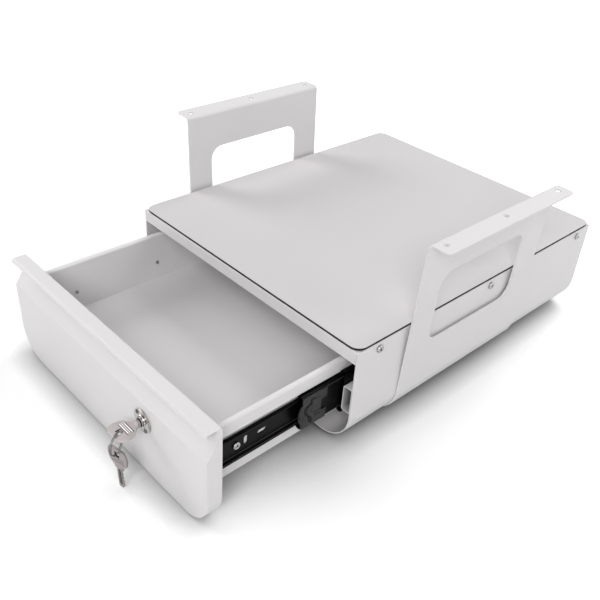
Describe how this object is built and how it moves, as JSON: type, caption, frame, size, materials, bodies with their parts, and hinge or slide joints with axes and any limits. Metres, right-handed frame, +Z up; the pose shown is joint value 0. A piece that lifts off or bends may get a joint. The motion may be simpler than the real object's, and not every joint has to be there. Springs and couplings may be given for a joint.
{
  "type": "under desk drawer safe",
  "caption": "Sheet metal safe hung under a desk by side brackets, with a locking drawer on ball bearing slides and a padded top shelf.",
  "frame": {"origin": "middle of the lowest level of the whole safe, under its bracket feet", "axes": "+Z up, -Y the way the drawer opens, +X to the right as seen from the front"},
  "size_m": [0.43, 0.6532, 0.2273],
  "materials": {
    "white_paint": "satin white powder coat",
    "pad_face": "matt pale grey",
    "pad_core": "matt black",
    "rail_coating": "black electrocoat",
    "latch_plastic": "moulded dark grey",
    "zinc_screw": "bright zinc plate",
    "cage_steel": "zinc plate",
    "lock_chrome": "polished chrome plate",
    "key_nickel": "nickel plate",
    "ring_steel": "bright steel wire"
  },
  "bodies": {
    "housing": {"housing_shell": "white_paint", "rear_panel": "white_paint", "top_cover": "white_paint", "shelf_pad_core": "pad_core", "shelf_pad": "pad_face", "left_hanger_bracket": "white_paint", "left_slide_spacer": "white_paint", "left_cabinet_rail": "rail_coating", "left_cover_screw_front": "zinc_screw", "left_cover_screw_middle": "zinc_screw", "left_cover_screw_rear": "zinc_screw", "left_foot_screw_front": "zinc_screw", "left_foot_screw_rear": "zinc_screw", "right_hanger_bracket": "white_paint", "right_slide_spacer": "white_paint", "right_cabinet_rail": "rail_coating", "right_cover_screw_front": "zinc_screw", "right_cover_screw_middle": "zinc_screw", "right_cover_screw_rear": "zinc_screw", "right_foot_screw_front": "zinc_screw", "right_foot_screw_rear": "zinc_screw"},
    "drawer": {"drawer_tray": "white_paint", "drawer_fascia": "white_paint", "lock_body": "lock_chrome", "rosette_screw_upper": "zinc_screw", "rosette_screw_lower": "zinc_screw", "left_drawer_rail": "rail_coating", "left_rail_screw_front": "zinc_screw", "left_rail_screw_rear": "zinc_screw", "right_drawer_rail": "rail_coating", "right_rail_screw_front": "zinc_screw", "right_rail_screw_rear": "zinc_screw"},
    "left_intermediate": {"left_intermediate_rail": "rail_coating", "left_rail_end_latch": "latch_plastic"},
    "left_outer_cage": {"left_outer_ball_cage": "cage_steel"},
    "left_inner_cage": {"left_inner_ball_cage": "cage_steel"},
    "right_intermediate": {"right_intermediate_rail": "rail_coating", "right_rail_end_latch": "latch_plastic"},
    "right_outer_cage": {"right_outer_ball_cage": "cage_steel"},
    "right_inner_cage": {"right_inner_ball_cage": "cage_steel"},
    "lock": {"lock_plug": "lock_chrome", "lock_cam": "zinc_screw", "cam_screw": "zinc_screw", "lock_key": "key_nickel"},
    "ring": {"key_ring": "ring_steel"},
    "spare": {"spare_key": "key_nickel"}
  },
  "joints": [
    {"name": "drawer_slide", "type": "slide", "parent": "housing", "child": "drawer", "axis": [0, -1, 0], "range_m": [-0.1575, 0.22]},
    {"name": "left_intermediate_slide", "type": "slide", "parent": "housing", "child": "left_intermediate", "axis": [0, -1, 0], "range_m": [-0.07875, 0.11]},
    {"name": "left_outer_cage_slide", "type": "slide", "parent": "housing", "child": "left_outer_cage", "axis": [0, -1, 0], "range_m": [-0.03938, 0.055]},
    {"name": "left_inner_cage_slide", "type": "slide", "parent": "left_intermediate", "child": "left_inner_cage", "axis": [0, -1, 0], "range_m": [-0.03938, 0.055]},
    {"name": "right_intermediate_slide", "type": "slide", "parent": "housing", "child": "right_intermediate", "axis": [0, -1, 0], "range_m": [-0.07875, 0.11]},
    {"name": "right_outer_cage_slide", "type": "slide", "parent": "housing", "child": "right_outer_cage", "axis": [0, -1, 0], "range_m": [-0.03938, 0.055]},
    {"name": "right_inner_cage_slide", "type": "slide", "parent": "right_intermediate", "child": "right_inner_cage", "axis": [0, -1, 0], "range_m": [-0.03938, 0.055]},
    {"name": "lock_turn", "type": "hinge", "parent": "drawer", "child": "lock", "pos_m": [0.0772, -0.2849, 0.0685], "axis": [0, 1, 0], "range_deg": [0, 90]},
    {"name": "ring_swing", "type": "hinge", "parent": "lock", "child": "ring", "pos_m": [0.0796, -0.3159, 0.0698], "axis": [0.5, -0.866, 0], "range_deg": [-12, 12]},
    {"name": "spare_swing", "type": "hinge", "parent": "ring", "child": "spare", "pos_m": [0.0796, -0.3159, 0.04774], "axis": [0.1395, -0.9902, 0], "range_deg": [-15, 15]}
  ],
  "couplings": [
    {"joint": "left_intermediate_slide", "follows": "drawer_slide", "ratio": 0.5},
    {"joint": "left_outer_cage_slide", "follows": "drawer_slide", "ratio": 0.25},
    {"joint": "left_inner_cage_slide", "follows": "drawer_slide", "ratio": 0.25},
    {"joint": "right_intermediate_slide", "follows": "drawer_slide", "ratio": 0.5},
    {"joint": "right_outer_cage_slide", "follows": "drawer_slide", "ratio": 0.25},
    {"joint": "right_inner_cage_slide", "follows": "drawer_slide", "ratio": 0.25}
  ]
}
